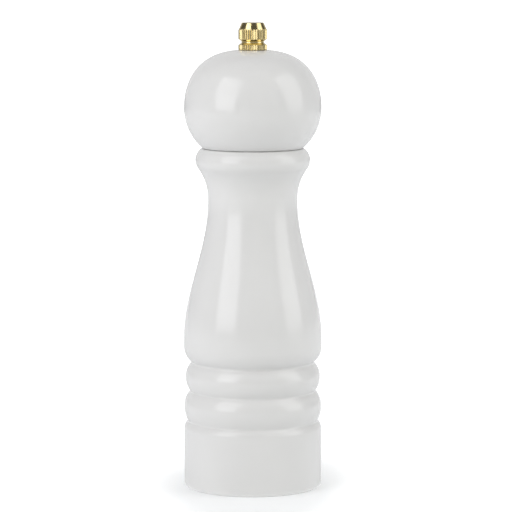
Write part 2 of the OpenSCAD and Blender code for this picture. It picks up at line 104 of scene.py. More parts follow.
HOUSING_LOW_Z, HOUSING_R = 9.0, 22.3
STATOR_R, STATOR_LOW_Z, STATOR_H, STATOR_FLARE = 15.8, 12.5, 15.0, 1.0
STATOR_HIGH_Z = STATOR_LOW_Z + STATOR_H
POCKET_R = STATOR_R + POCKET_FIT
HUB_LOW_Z, HUB_FLANGE_R, HUB_FLANGE_H, HUB_R, HUB_RISE = 12.0, 8.6, 1.2, 5.9, 0.4
ROTOR_R, ROTOR_TOP_R, ROTOR_H = 12.0, 7.0, 14.0
ROTOR_LOW_Z = HUB_LOW_Z + HUB_FLANGE_H
ROTOR_TOP_Z = ROTOR_LOW_Z + ROTOR_H
ROTOR_SLOPE = (ROTOR_R - ROTOR_TOP_R) / ROTOR_H
ROTOR_TEETH, STATOR_TEETH = 12, 16
FINEST_GAP, FINE_H = 0.35, 5.5
COARSE_GAP = FINEST_GAP + ROTOR_SLOPE * TRAVEL
STATOR_LOW_R = ROTOR_R + COARSE_GAP + ROTOR_SLOPE * (ROTOR_LOW_Z - STATOR_LOW_Z)
STATOR_WAIST_R = STATOR_LOW_R - ROTOR_SLOPE * FINE_H
STATOR_MOUTH_R = STATOR_WAIST_R + STATOR_FLARE
RETAINER_H, RETAINER_LIP, RETAINER_RELIEF = 1.4, 0.7, 0.4
RETAINER_LOW_Z = STATOR_LOW_Z - RETAINER_H
RETAINER_R, RETAINER_HOLE_R = POCKET_R + RETAINER_LIP, STATOR_LOW_R + RETAINER_RELIEF
WASHER_R, WASHER_H = 6.0, 0.8
WASHER_LOW_Z = HUB_LOW_Z - WASHER_H
NUT_W, NUT_H = 8.0, 4.0
NUT_LOW_Z = WASHER_LOW_Z - NUT_H
SHAFT_END = 1.0
SHAFT_LOW_Z = NUT_LOW_Z - SHAFT_END
HOUSING_SCREW_X, HOUSING_SCREW_R, HOUSING_SCREW_L = 19.3, 1.5, 40.0

BRIDGE_W, BRIDGE_EYE_R, BRIDGE_H, BRIDGE_INSET = 8.0, 7.2, 1.5, 0.5
BRIDGE_LOW_Z = STEP_Z - BRIDGE_H
BRIDGE_END_R = HOUSING_R - BRIDGE_INSET
BUSH_BORE_FIT, BUSH_WALL, BUSH_RISE = 0.24, 0.9, 2.2
BUSH_R = CORNER_R + BUSH_BORE_FIT + BUSH_WALL
BUSH_FLANGE_R, BUSH_FLANGE_H, BUSH_LIP = 7.0, 1.4, 0.5
BUSH_TOP_Z = STEP_Z + BUSH_RISE
BUSH_LOW_Z = BRIDGE_LOW_Z - GAP - BUSH_FLANGE_H
SPRING_WASHER_H, SPRING_WASHER_INSET = 0.5, 0.6
SPRING_HIGH_Z = BUSH_LOW_Z - SPRING_WASHER_H
SPRING_LOW_Z = ROTOR_TOP_Z + HUB_RISE
WIRE_R, COIL_R, COIL_TURNS = 0.45, 5.2, 5

# ---- Outlines --------------------------------------------------------------------------------

RING_STEPS = 18


def arc(centre, radius, start, end, steps):
    """Points along an arc, angles in degrees."""
    angles = [math.radians(start + (end - start) * i / steps) for i in range(steps + 1)]
    return [(centre[0] + radius * math.cos(a), centre[1] + radius * math.sin(a)) for a in angles]


def swell(groove, crest, root, steps):
    """Points from the bottom of a groove to the crest of the ring beside it. The ring is an arc
    that is upright at its crest, and it meets the groove's round bottom at a tangent. With a root
    of 0 the groove has no round bottom."""
    dr, dz = crest[0] - groove[0], crest[1] - groove[1]
    span = (dr * dr + dz * dz) / (2 * dr)
    angle = math.degrees(math.asin(-dz / span))
    low = arc((groove[0] + root, groove[1]), root, 180, 180 + angle, 6) if root else [groove]
    return low + arc((crest[0] - span + root, crest[1]), span - root, angle, 0, steps)[1:]


def swell_back(crest, groove, root, steps):
    """The same curve from the crest to the groove."""
    return list(reversed(swell(groove, crest, root, steps)))


def body_outline():
    """The outside of the body, from its foot up to the seam."""
    steps = 64
    wave = [
        (NECK_R + (BELLY[0] - NECK_R) * (1 + math.cos(math.pi * i / steps)) / 2,
         BELLY_HIGH_Z + (NECK_LOW_Z - BELLY_HIGH_Z) * i / steps)
        for i in range(steps + 1)
    ]
    edge = (COLLAR_R - COLLAR_ROUND, COLLAR_Z)
    rise, inset = COLLAR_Z - NECK_HIGH_Z, NECK_R - edge[0]
    flare_r = (inset ** 2 + rise ** 2 - COLLAR_ROUND ** 2) / (2 * (COLLAR_ROUND - inset))
    flare = (NECK_R + flare_r, NECK_HIGH_Z)
    meet = math.degrees(math.atan2(rise, flare[0] - edge[0]))
    over = math.degrees(math.acos((SEAM_R - edge[0]) / COLLAR_ROUND))
    return (
        arc((FOOT_R - FOOT_ROUND, FOOT_ROUND), FOOT_ROUND, -90, 0, 12)
        + [(FOOT_R, z) for z in range(4, 25, 4)]
        + swell_back((FOOT_R, FOOT_TOP_Z), LOW_GROOVE, GROOVE_ROUND, 12)
        + swell(LOW_GROOVE, LOW_RING, GROOVE_ROUND, RING_STEPS)[1:]
        + swell_back(LOW_RING, MID_GROOVE, GROOVE_ROUND, RING_STEPS)[1:]
        + swell(MID_GROOVE, HIGH_RING, GROOVE_ROUND, RING_STEPS)[1:]
        + swell_back(HIGH_RING, HIGH_GROOVE, GROOVE_ROUND, RING_STEPS)[1:]
        + swell(HIGH_GROOVE, BELLY, GROOVE_ROUND, RING_STEPS)[1:]
        + wave
        + arc(flare, flare_r, 180, 180 - meet, 24)
        + arc(edge, COLLAR_ROUND, -meet, over, 32)[1:]
    )


def head_outline():
    """The outside of the head, from the seam up to the flat that seats the knob."""
    seam = (SEAM_R, HEAD_LOW_Z + HEAD_BEVEL_H)
    steps = 56
    end = math.asin((1 - SEAT_CUT / DOME_H) ** (DOME_FULLNESS / 2))
    dome = [
        (HEAD_R * math.cos(end * i / steps) ** (2 / DOME_FLATNESS),
         HEAD_WIDE_Z + DOME_H * math.sin(end * i / steps) ** (2 / DOME_FULLNESS))
        for i in range(1, steps + 1)
    ]
    return swell(seam, (HEAD_R, HEAD_WIDE_Z), 0, 36) + dome


def soften(points, radius, closed=True):
    """The same outline with each corner rounded over, but for those that hardly turn."""
    steps, share, least_turn = 4, 0.4, math.radians(12)
    out = []
    n = len(points)
    for i, p in enumerate(points):
        if not closed and i in (0, n - 1):
            out.append(p)
            continue
        here, before, after = Vector(p), Vector(points[i - 1]), Vector(points[(i + 1) % n])
        back, on = before - here, after - here
        if math.pi - back.angle(on, math.pi) < least_turn:
            out.append(p)
            continue
        reach = min(radius, back.length * share, on.length * share)
        a, b = here + back.normalized() * reach, here + on.normalized() * reach
        for k in range(steps + 1):
            t = k / steps
            q = a * (1 - t) ** 2 + here * 2 * t * (1 - t) + b * t ** 2
            out.append((q.x, q.y))
    return out


def levels(low, high, step):
    """Heights from low to high, about a step apart."""
    count = max(1, round((high - low) / step))
    return [low + (high - low) * i / count for i in range(count + 1)]


# ---- Radii that change round the axis --------------------------------------------------------


def square(half, corner=math.inf):
    """The radius of a square section, with its corners turned off where a radius is given."""
    return lambda a, z: min(half / max(abs(math.cos(a)), abs(math.sin(a))), corner)


def threaded(crest, depth, pitch, low, high):
    """The radius of a right-hand screw thread, which fades out at both ends."""
    fade_over, steepness = 0.9, 1.25

    def radius(a, z):
        phase = (z / pitch - a / TAU) % 1.0
        rise = min(1.0, steepness * (1 - abs(2 * phase - 1)))
        fade = max(0.0, min(1.0, (z - low) / fade_over, (high - z) / fade_over))
        return crest - depth * (1 - rise) * fade
    return radius


# ---- Mesh makers -----------------------------------------------------------------------------

# points round the body and the head
SEGMENTS = 288
# faces that meet at more than this many degrees keep a crisp edge
CRISP_ANGLE = 28
# points closer than this, in metres, are one
MERGE_DIST = 1e-7
# the radius of the tiny ring, in mm, that closes an end on the axis
AXIS_R = 0.002


def finish_mesh(mesh, name, crisp=CRISP_ANGLE):
    """Shades a mesh and puts it in the scene as a piece."""
    mesh.shade_smooth()
    mesh.set_sharp_from_angle(angle=math.radians(crisp))
    piece = bpy.data.objects.new(name, mesh)
    bpy.context.scene.collection.objects.link(piece)
    return piece


def skin(name, rings, closed, crisp=CRISP_ANGLE):
    """A mesh through rings of points in mm. A closed one joins its last ring to its first, and
    an open one is capped at both ends."""
    mesh = bpy.data.meshes.new(name)
    count = len(rings[0])
    points = [(x * MM, y * MM, z * MM) for ring in rings for x, y, z in ring]
    faces = []
    for i in range(len(rings) if closed else len(rings) - 1):
        j = (i + 1) % len(rings)
        for k in range(count):
            m = (k + 1) % count
            faces.append((i * count + k, i * count + m, j * count + m, j * count + k))
    if not closed:
        last = (len(rings) - 1) * count
        faces.append(tuple(reversed(range(count))))
        faces.append(tuple(range(last, last + count)))
    mesh.from_pydata(points, [], faces)
    work = bmesh.new()
    work.from_mesh(mesh)
    bmesh.ops.remove_doubles(work, verts=work.verts, dist=MERGE_DIST)
    bmesh.ops.recalc_face_normals(work, faces=work.faces)
    work.to_mesh(mesh)
    work.free()
    return finish_mesh(mesh, name, crisp)


def loft(name, profile, count, closed=True, crisp=CRISP_ANGLE):
    """A mesh through a ring of points for each (radius, z) of a profile. A radius is a number, or
    a function of the angle and the height."""
    rings = []
    for radius, z in profile:
        ring = []
        for k in range(count):
            a = TAU * k / count
            r = radius(a, z) if callable(radius) else radius
            ring.append((r * math.cos(a), r * math.sin(a), z))
        rings.append(ring)
    return skin(name, rings, closed, crisp)


def stamped(name, hole, outer, low, high, ease, count):
    """A flat plate with a hole and eased edges. hole and outer give the radius of an edge that
    has been eased by so much."""
    return loft(name, [
        (hole(ease), low), (outer(ease), low), (outer(0), low + ease), (outer(0), high - ease),
        (outer(ease), high), (hole(ease), high), (hole(0), high - ease), (hole(0), low + ease),
    ], count)


def cut(piece, cutters):
    """Cuts closed meshes out of a piece, and deletes them."""
    for cutter in cutters:
        modifier = piece.modifiers.new("cut", "BOOLEAN")
        modifier.operation = "DIFFERENCE"
        modifier.solver = "EXACT"
        modifier.object = cutter
    bpy.context.view_layer.update()
    graph = bpy.context.evaluated_depsgraph_get()
    mesh = bpy.data.meshes.new_from_object(piece.evaluated_get(graph))
    piece.modifiers.clear()
    old = piece.data
    piece.data = mesh
    bpy.data.meshes.remove(old)
    for cutter in cutters:
        bpy.data.objects.remove(cutter)
    mesh.shade_smooth()
    mesh.set_sharp_from_angle(angle=math.radians(CRISP_ANGLE))
    return piece


def bar(size, centre, turn=0.0):
    """A plain block in mm, used only to cut with."""
    mesh = bpy.data.meshes.new("cutter")
    work = bmesh.new()
    bmesh.ops.create_cube(work, size=1.0)
    place = (
        Matrix.Translation(Vector(centre) * MM)
        @ Matrix.Rotation(math.radians(turn), 4, "Z")
        @ Matrix.Diagonal(Vector(size) * MM).to_4x4()
    )
    bmesh.ops.transform(work, matrix=place, verts=work.verts)
    work.to_mesh(mesh)
    work.free()
    cutter = bpy.data.objects.new("cutter", mesh)
    bpy.context.scene.collection.objects.link(cutter)
    return cutter


def moved(piece, x, y, z):
    """Shifts a piece's mesh by so many mm."""
    piece.data.transform(Matrix.Translation(Vector((x, y, z)) * MM))
    return piece


def joined(name, pieces):
    """Several meshes as one piece."""
    work = bmesh.new()
    for piece in pieces:
        work.from_mesh(piece.data)
    mesh = bpy.data.meshes.new(name)
    work.to_mesh(mesh)
    work.free()
    for piece in pieces:
        bpy.data.objects.remove(piece)
    return finish_mesh(mesh, name)


# ---- Materials -------------------------------------------------------------------------------


class Nodes:
    """A node tree with a few shorthand makers."""

    def __init__(self, tree):
        self.tree = tree

    def node(self, kind, **settings):
        """Adds a node. Each setting is the name of a socket or of a property."""
        made = self.tree.nodes.new(kind)
        for key, value in settings.items():
            if key in made.inputs:
                made.inputs[key].default_value = value
            else:
                setattr(made, key, value)
        return made

    def link(self, source, target):
        self.tree.links.new(source, target)

    def spread(self, value, low, high, start=0.3, end=0.7):
        """Maps a pattern to a range of numbers."""
        made = self.node("ShaderNodeMapRange")
        ends = (("From Min", start), ("From Max", end), ("To Min", low), ("To Max", high))
        for key, number in ends:
            made.inputs[key].default_value = number
        self.link(value, made.inputs["Value"])
        return made.outputs["Result"]


class Surface(Nodes):
    """A node material with its Principled shader. Scales are in repeats to the metre."""

    def __init__(self, name, color, roughness, metallic=0.0):
        self.material = bpy.data.materials.new(name)
        self.material.use_nodes = True
        super().__init__(self.material.node_tree)
        self.shader = self.tree.nodes["Principled BSDF"]
        self.set("Base Color", (*color, 1))
        self.set("Roughness", roughness)
        self.set("Metallic", metallic)
        self.where = self.node("ShaderNodeTexCoord").outputs["Object"]

    def set(self, socket, value):
        self.shader.inputs[socket].default_value = value

    def stretched(self, scale):
        """Object coordinates, scaled along each axis."""
        mapping = self.node("ShaderNodeMapping")
        mapping.inputs["Scale"].default_value = scale
        self.link(self.where, mapping.inputs["Vector"])
        return mapping.outputs["Vector"]

    def noise(self, scale, detail=3.0, where=None):
        made = self.node("ShaderNodeTexNoise", Scale=scale, Detail=detail)
        self.link(where or self.where, made.inputs["Vector"])
        return made.outputs["Fac"]

    def shades(self, value, stops):
        """Maps a pattern to colours: stops are (position, colour)."""
        ramp = self.node("ShaderNodeValToRGB")
        for i, (at, color) in enumerate(stops):
            element = ramp.color_ramp.elements[i] if i < 2 else ramp.color_ramp.elements.new(at)
            element.position = at
            element.color = (*color, 1)
        self.link(value, ramp.inputs["Fac"])
        return ramp.outputs["Color"]

    def color_by(self, value, stops):
        self.link(self.shades(value, stops), self.shader.inputs["Base Color"])

    def rough_by(self, value, low, high):
        self.link(self.spread(value, low, high), self.shader.inputs["Roughness"])

    def bumps(self, *layers):
        """Adds relief: each layer is (pattern, depth in mm, strength)."""
        normal = None
        for value, depth, strength in layers:
            bump = self.node("ShaderNodeBump", Strength=strength, Distance=depth * MM)
            self.link(value, bump.inputs["Height"])
            if normal is not None:
                self.link(normal, bump.inputs["Normal"])
            normal = bump.outputs["Normal"]
        self.link(normal, self.shader.inputs["Normal"])


def scaled(color, factor):
    return tuple(c * factor for c in color)


def white_lacquer():
    """Satin paint over a faint grain, more matt on the head's crown than below it."""
    paint = (0.706, 0.704, 0.703)
    crown_low, crown_high, crown_matt = 0.18, 0.19, 0.1
    s = Surface("white_lacquer", paint, 0.3)
    cloud = s.noise(38, 2)
    s.color_by(cloud, [(0.3, scaled(paint, 0.985)), (0.7, scaled(paint, 1.01))])
    split = s.node("ShaderNodeSeparateXYZ")
    s.link(s.where, split.inputs[0])
    rough = s.node("ShaderNodeMath", operation="ADD")
    s.link(s.spread(s.noise(90, 3), 0.13, 0.17), rough.inputs[0])
    s.link(s.spread(split.outputs["Z"], 0.0, crown_matt, crown_low, crown_high), rough.inputs[1])
    s.link(rough.outputs["Value"], s.shader.inputs["Roughness"])
    grain = s.noise(1.0, 4, s.stretched((900, 900, 28)))
    s.bumps((grain, 0.012, 0.35), (s.noise(620, 2), 0.015, 0.25))
    return s.material


def raw_beech():
    """Bare wood: year rings round a pith beside the axis, under long fine pores."""
    pale, dark = (0.62, 0.43, 0.27), (0.43, 0.265, 0.15)
    pith, rings_scale, rings_share = (0.055, 0.03, 0), 900, 0.45
    s = Surface("raw_beech", pale, 0.62)
    bend = s.noise(1.0, 3, s.stretched((60, 60, 7)))
    away = s.node("ShaderNodeVectorMath", operation="DISTANCE")
    s.link(s.stretched((1, 1, 0.02)), away.inputs[0])
    away.inputs[1].default_value = pith
    rings = s.node("ShaderNodeMath", operation="MULTIPLY_ADD")
    s.link(away.outputs["Value"], rings.inputs[0])
    rings.inputs[1].default_value = rings_scale
    s.link(s.spread(bend, 0, 3, 0, 1), rings.inputs[2])
    sine = s.node("ShaderNodeMath", operation="SINE")
    s.link(rings.outputs["Value"], sine.inputs[0])
    band = s.spread(sine.outputs["Value"], 0.0, 1.0, -1, 1)
    pores = s.noise(1.0, 5, s.stretched((1500, 1500, 90)))
    tone = s.node("ShaderNodeMath", operation="MULTIPLY_ADD")
    s.link(band, tone.inputs[0])
    tone.inputs[1].default_value = rings_share
    s.link(s.spread(pores, 0.0, 0.55), tone.inputs[2])
    s.color_by(tone.outputs["Value"], [(0.1, dark), (0.75, pale)])
    s.rough_by(pores, 0.5, 0.72)
    s.bumps((pores, 0.08, 0.6))
    return s.material


def brass():
    """Polished metal with fine turning marks and a slight stain."""
    gold, worn = (0.81, 0.66, 0.33), (0.84, 0.7, 0.37)
    s = Surface("polished_brass", gold, 0.17, 1.0)
    s.color_by(s.noise(260, 4), [(0.3, scaled(gold, 0.93)), (0.72, worn)])
    turning = s.noise(1.0, 2, s.stretched((60, 60, 9000)))
    s.rough_by(s.noise(700, 3), 0.13, 0.22)
    s.bumps((turning, 0.004, 0.3), (s.noise(1500, 3), 0.006, 0.2))
    return s.material


def steel(name, tint, roughness):
    s = Surface(name, tint, roughness, 1.0)
    s.color_by(s.noise(320, 5), [(0.3, scaled(tint, 0.86)), (0.7, scaled(tint, 1.08))])
    s.rough_by(s.noise(520, 4), roughness - 0.06, roughness + 0.12)
    s.bumps((s.noise(1.0, 3, s.stretched((2600, 2600, 160))), 0.008, 0.4))
    return s.material


def ceramic():
    white = (0.79, 0.775, 0.72)
    s = Surface("fired_ceramic", white, 0.42)
    s.color_by(s.noise(1400, 5), [(0.28, scaled(white, 0.9)), (0.6, white)])
    s.rough_by(s.noise(900, 3), 0.36, 0.5)
    s.bumps((s.noise(2600, 4), 0.02, 0.5))
    return s.material


def nylon(name, color, roughness):
    s = Surface(name, color, roughness)
    s.color_by(s.noise(500, 3), [(0.3, scaled(color, 0.85)), (0.7, scaled(color, 1.15))])
    s.rough_by(s.noise(800, 3), roughness - 0.07, roughness + 0.08)
    s.bumps((s.noise(3200, 4), 0.02, 0.45))
    return s.material


LACQUER, BEECH, BRASS, CERAMIC = white_lacquer(), raw_beech(), brass(), ceramic()
STEEL = steel("zinc_steel", (0.58, 0.59, 0.61), 0.3)
WIRE = steel("drawn_wire", (0.4, 0.4, 0.41), 0.26)
BLACK = nylon("black_nylon", (0.028, 0.028, 0.03), 0.46)
NATURAL = nylon("natural_nylon", (0.7, 0.69, 0.64), 0.5)


def dress(piece, body, node, slot, *materials):
    """Gives a piece its materials and the body it moves with, and hides the solid it stands for.
    """
    for material in materials:
        piece.data.materials.append(material)
    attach(piece, body)
    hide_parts(node)


def leave_bare(piece, test):
    """Gives the faces that pass the test the piece's second material. The test gets each face's
    radius and height in mm, and how far it faces away from the axis, from -1 to 1."""
    for face in piece.data.polygons:
        c, n = face.center, face.normal
        r = math.hypot(c.x, c.y)
        if test(r / MM, c.z / MM, (c.x * n.x + c.y * n.y) / r):
            face.material_index = 1


# ---- Body and head ---------------------------------------------------------------------------

# faces with less than this outward lean look at the axis
INWARD = -0.05
# how close, in mm, a face is to a level that it lies in
NEAR = 0.01


def turned_body():
    ease = 0.4
    outline = body_outline() + [
        (SEAM_R - SEAM_DEPTH, BODY_TOP_Z), (BARE_R, BODY_TOP_Z), (CHAMBER_R + ease, BODY_TOP_Z),
        (CHAMBER_R, BODY_TOP_Z - ease), (CHAMBER_R, BODY_TOP_Z - 8), (CHAMBER_R, STEP_Z),
        (GRINDER_R, STEP_Z), (GRINDER_R, STEP_Z / 2), (GRINDER_R, ease), (GRINDER_R + ease, 0),
    ]
    piece = loft("turned_body", outline, SEGMENTS)
    dress(piece, "base", "mill_body", "white_lacquer", LACQUER, BEECH)
    leave_bare(piece, lambda r, z, out: (
        out < INWARD and z > 0.5
        or r < BARE_R and z > BODY_TOP_Z - NEAR
        or r < GRINDER_R and abs(z - STEP_Z) < NEAR
    ))


def turned_head():
    ease = 0.6
    # the seam reads narrower than the clearance between the two solids
    seam_z = HEAD_LOW_Z - 0.12
    outline = [
        (HEAD_HOLE_R, TENON_LOW_Z), (TENON_R - ease, TENON_LOW_Z), (TENON_R, TENON_LOW_Z + ease),
        (TENON_R, seam_z), (BARE_R, seam_z), (SEAM_R - SEAM_DEPTH, seam_z),
    ]
    outline += head_outline()
    outline += [
        (FERRULE_R + FIT, HEAD_TOP_Z), (FERRULE_R + FIT, HEAD_TOP_Z - FERRULE_FLANGE),
        (HEAD_HOLE_R, HEAD_TOP_Z - FERRULE_FLANGE),
    ]
    piece = loft("turned_head", outline, SEGMENTS)
    dress(piece, "top", "head", "white_lacquer", LACQUER, BEECH)
    leave_bare(piece, lambda r, z, out: out < INWARD or r < BARE_R and z < HEAD_LOW_Z + NEAR)


def ferrule():
    hole = KNOB_THREAD_R + GAP
    outline = soften([
        (hole, 0), (hole, -FERRULE_H), (HEAD_HOLE_R, -FERRULE_H),
        (HEAD_HOLE_R, -FERRULE_FLANGE), (FERRULE_R, -FERRULE_FLANGE), (FERRULE_R, 0),
    ], 0.25)
    piece = loft("brass_ferrule", [(r, z + HEAD_TOP_Z) for r, z in outline], 96)
    dress(piece, "top", "head_ferrule", "brass", BRASS)


# ---- Knob ------------------------------------------------------------------------------------


def knurl(r):
    """The radius of a turned surface, cut by straight teeth where it is near the knob's own."""
    steepness = 2.6

    def radius(a, z):
        phase = (a * KNURL_TEETH / TAU) % 1.0
        # 0 at the foot of a cut, 1 on a crest
        reach = min(1.0, steepness * abs(phase - 0.5))
        return min(r, KNOB_R - KNURL_DEPTH * (1 - reach))
    return radius


def knurled_knob():
    """Straight teeth round both bands, cut into a turned outline with a threaded blind bore."""
    points_per_tooth, step, thread_step, ease, thread_depth = 12, 0.12, 0.14, 0.16, 0.35
    low_band, waist_low, waist_high, band_low, band_high = (
        share * KNOB_H for share in (0.18, 0.27, 0.31, 0.4, 0.75))
    bore_r, bore_top = KNOB_THREAD_R + FIT, KNOB_H - KNOB_WALL
    corners = [
        (AXIS_R, 0), (KNOB_R - KNOB_EDGE, 0), (KNOB_R, KNOB_EDGE), (KNOB_R, low_band),
        (KNOB_WAIST_R, waist_low), (KNOB_WAIST_R, waist_high), (KNOB_R, band_low),
        (KNOB_R, band_high - KNOB_EDGE), (KNOB_R - KNOB_TOP_EDGE, band_high),
        (KNOB_TOP_R, KNOB_H), (AXIS_R, KNOB_H),
    ]
    eased = soften(corners, ease, closed=False)[1:-1]
    profile = []
    for (r0, z0), (r1, z1) in zip(eased, eased[1:]):
        steps = max(1, round(math.hypot(r1 - r0, z1 - z0) / step))
        profile += [
            (knurl(r0 + (r1 - r0) * i / steps), z0 + (z1 - z0) * i / steps) for i in range(steps)
        ]
    profile += [(knurl(eased[-1][0]), eased[-1][1]), (0.4, KNOB_H), (AXIS_R, KNOB_H)]
    inside = threaded(bore_r, -thread_depth, KNOB_PITCH, 0.6, bore_top - 1.5)
    profile += [(AXIS_R, bore_top), (bore_r, bore_top)]
    profile += [(inside, z) for z in reversed(levels(0.5, bore_top - 0.3, thread_step))]
    profile.append((bore_r + 0.5, 0))
    piece = loft("knurled_knob", profile, KNURL_TEETH * points_per_tooth, crisp=24)
    moved(piece, 0, 0, KNOB_LOW_Z)
    dress(piece, "knob", "adjusting_knob", "brass", BRASS)


# ---- Drive -----------------------------------------------------------------------------------


def square_shaft():
    """A square rod, turned down and threaded at both ends."""
    step = 0.1
    root = KNOB_THREAD_R - KNOB_THREAD_DEPTH
    thread_low = SQUARE_TOP_Z + 2
    section = square(SHAFT_W / 2, CORNER_R - SHAFT_CORNER_CUT)
    shoulder = square(SHAFT_W / 2, KNOB_THREAD_R)
    upper = threaded(
        KNOB_THREAD_R, KNOB_THREAD_DEPTH, KNOB_PITCH, thread_low, SHAFT_TOP_Z - 0.1)
    lower = threaded(NUT_THREAD_R, NUT_THREAD_DEPTH, NUT_PITCH, SHAFT_LOW_Z + 0.2, HUB_LOW_Z)
    profile = [(AXIS_R, SHAFT_LOW_Z), (NUT_THREAD_R - NUT_THREAD_DEPTH, SHAFT_LOW_Z)]
    profile += [(lower, z) for z in levels(SHAFT_LOW_Z + 0.4, HUB_LOW_Z, step)]
    profile += [(section, z) for z in levels(HUB_LOW_Z, SQUARE_TOP_Z - 0.7, 12)]
    profile += [
        (shoulder, SQUARE_TOP_Z), (root, SQUARE_TOP_Z + 0.2), (root, thread_low - 0.3),
    ]
    profile += [(upper, z) for z in levels(thread_low, SHAFT_TOP_Z - 0.4, step)]
    profile += [(KNOB_THREAD_R - 0.8, SHAFT_TOP_Z), (AXIS_R, SHAFT_TOP_Z)]
    dress(loft("square_shaft", profile, 128), "drive", "shaft", "steel", STEEL)


def drive_plate():
    """A stamped disc with a square hole."""
    piece = stamped(
        "stamped_drive_plate",
        lambda ease: square(SHAFT_W / 2 + SQUARE_FIT + ease), lambda ease: PLATE_R - ease,
        PLATE_LOW_Z, PLATE_LOW_Z + PLATE_H, 0.25, 160)
    dress(piece, "top", "drive_plate", "steel", STEEL)


def wood_screw(radius, length, x, z, turn):
    """A slotted pan-head screw, head down, with a coarse thread and a point."""
    depth, pitch, slot_w, slot_deep = 0.38, 1.15, 0.65, 0.7
    head, tall, tip = SCREW_HEAD_R, SCREW_HEAD_H, 2 * radius
    thread = threaded(radius, depth, pitch, tall + 2.0, length + 2)

    def shank(a, level):
        return thread(a, level) * max(0.03, min(1.0, (length - level) / tip))

    profile = [
        (AXIS_R, 0.0), (head * 0.45, 0.0), (head * 0.75, 0.12), (head * 0.92, 0.4), (head, 0.85),
        (head, tall - 0.15), (head - 0.15, tall), (radius, tall),
    ]
    profile += [(shank, level) for level in levels(tall + 0.05, length, 0.16)]
    screw = loft("screw", profile, 48, closed=False)
    slot = bar((2 * head + 2, slot_w, 2 * slot_deep), (0, 0, 0), turn)
    return moved(cut(screw, [slot]), x, 0, z)


def screw_pair(name, radius, length, x, z, turn, body, node):
    """Two wood screws in one piece, one on each side of the axis."""
    pair = [wood_screw(radius, length, side * x, z, side * turn) for side in (-1, 1)]
    dress(joined(name, pair), body, node, "steel", STEEL)


# ---- Bridge, bush and spring -----------------------------------------------------------------


def bridge():
    """A stamped strip with an eye at its middle for the bush."""
    def outer(ease):
        def radius(a, z):
            across = (BRIDGE_W / 2 - ease) / max(abs(math.sin(a)), 1e-6)
            return max(BRIDGE_EYE_R - ease, min(BRIDGE_END_R - ease, across))
        return radius

    piece = stamped(
        "stamped_bridge", lambda ease: BUSH_R + FIT + ease, outer, BRIDGE_LOW_Z, STEP_Z, 0.2, 480)
    dress(piece, "base", "bridge", "steel", STEEL)


def shaft_bush():
    """A moulded bush with a flange below the bridge and a lip that has snapped through it."""
    ease = 0.2
    hole = square(SHAFT_W / 2 + SQUARE_FIT)
    lip_z = STEP_Z + GAP
    flange_z = BUSH_LOW_Z + BUSH_FLANGE_H
    profile = soften([
        (5.0, BUSH_LOW_Z), (BUSH_FLANGE_R, BUSH_LOW_Z), (BUSH_FLANGE_R, flange_z),
        (BUSH_R, flange_z), (BUSH_R, lip_z), (BUSH_R + BUSH_LIP, lip_z + 0.3),
        (BUSH_R + BUSH_LIP, lip_z + 0.8), (BUSH_R - 0.2, BUSH_TOP_Z), (4.8, BUSH_TOP_Z),
    ], ease, closed=False)
    profile += [(hole, BUSH_TOP_Z - ease), (hole, BUSH_LOW_Z + ease)]
    dress(loft("nylon_bush", profile, 128), "guide", "shaft_bush", "white_nylon", NATURAL)


def washer(name, low, high, hole, radius, body, node):
    outline = soften([(hole, low), (radius, low), (radius, high), (hole, high)], 0.15)
    dress(loft(name, outline, 96), body, node, "steel", STEEL)


def spring():
    """A coil of round wire with its ends ground flat."""
    per_turn, around = 40, 12
    height = SPRING_HIGH_Z - SPRING_LOW_Z
    rings = []
    steps = COIL_TURNS * per_turn
    for i in range(steps + 1):
        a = TAU * COIL_TURNS * i / steps
        z = SPRING_LOW_Z + height * i / steps
        ring = []
        for k in range(around):
            b = TAU * k / around
            r = COIL_R + WIRE_R * math.cos(b)
            level = min(SPRING_HIGH_Z, max(SPRING_LOW_Z, z + WIRE_R * math.sin(b)))
            ring.append((r * math.cos(a), r * math.sin(a), level))
        rings.append(ring)
    piece = skin("coil_spring", rings, closed=False, crisp=50)
    dress(piece, "drive", "spring", "spring_steel", WIRE)
    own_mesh(piece)


# ---- Grinder ---------------------------------------------------------------------------------


def grinder_housing():
    """A moulded tube with a pocket for the stator, a slot for the bridge and two screw holes."""
    ease = 0.8
    outline = soften([
        (CHAMBER_R, STATOR_HIGH_Z), (POCKET_R, STATOR_HIGH_Z), (POCKET_R, STATOR_LOW_Z),
        (RETAINER_R, STATOR_LOW_Z), (RETAINER_R, RETAINER_LOW_Z), (POCKET_R, RETAINER_LOW_Z),
        (POCKET_R + 0.6, HOUSING_LOW_Z), (HOUSING_R - ease, HOUSING_LOW_Z),
        (HOUSING_R, HOUSING_LOW_Z + ease), (HOUSING_R, STEP_Z), (CHAMBER_R, STEP_Z),
    ], 0.3)
    piece = loft("moulded_housing", outline, 144)
    cutters = [bar((2 * HOUSING_R + 1, BRIDGE_W + 0.2, 2 * BRIDGE_H), (0, 0, STEP_Z))]
    holes = [(HOUSING_SCREW_R, STEP_Z), (SCREW_HEAD_R, HOUSING_LOW_Z + SCREW_HEAD_H)]
    for side in (-1, 1):
        for radius, top in holes:
            profile = [(radius + SCREW_FIT, 0), (radius + SCREW_FIT, top)]
            hole = loft("cutter", profile, 48, closed=False)
            cutters.append(moved(hole, side * HOUSING_SCREW_X, 0, 0))
    cut(piece, cutters)
    dress(piece, "base", "grinder_housing", "black_nylon", BLACK)


def tooth(a, rise, count, lean):
    """A saw-shaped pattern of teeth that lean as they rise: 0 on a crest, 1 in a cut."""
    slope_share = 0.8
    t = (a * count / TAU + lean * rise) % 1.0
    return t / slope_share if t < slope_share else (1 - t) / (1 - slope_share)


